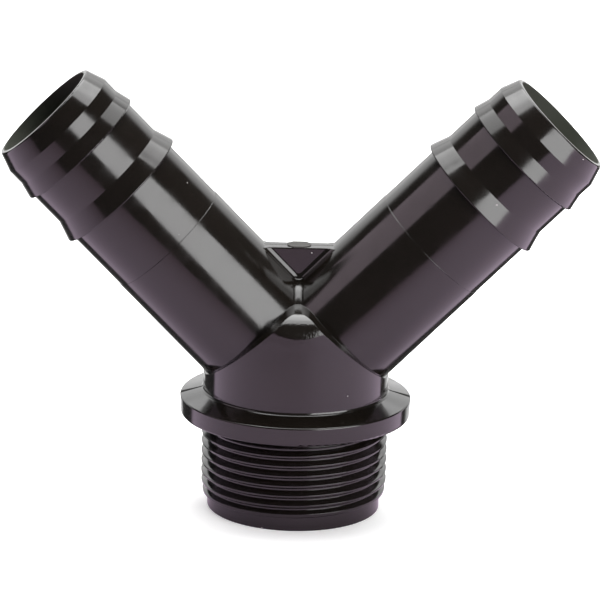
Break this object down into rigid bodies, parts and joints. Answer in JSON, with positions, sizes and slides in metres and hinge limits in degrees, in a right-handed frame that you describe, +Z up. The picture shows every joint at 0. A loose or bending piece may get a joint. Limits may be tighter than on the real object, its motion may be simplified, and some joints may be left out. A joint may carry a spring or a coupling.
{
  "type": "tubing y connector",
  "caption": "Moulded Y connector that joins a threaded pipe port to barbed hose tails set in a V, with a round collar above the thread and a small web between the tails.",
  "frame": {"origin": "centre of the stub's bottom face, on the thread's axis", "axes": "+Z up along the thread's axis from its free end to the tails, X across the V, with a tail leaning to each side, Y through the V"},
  "size_m": [0.133, 0.052, 0.0993],
  "materials": {
    "body": "black, satin gloss as moulded"
  },
  "bodies": {
    "root": {"y_connector": "body"}
  },
  "joints": []
}
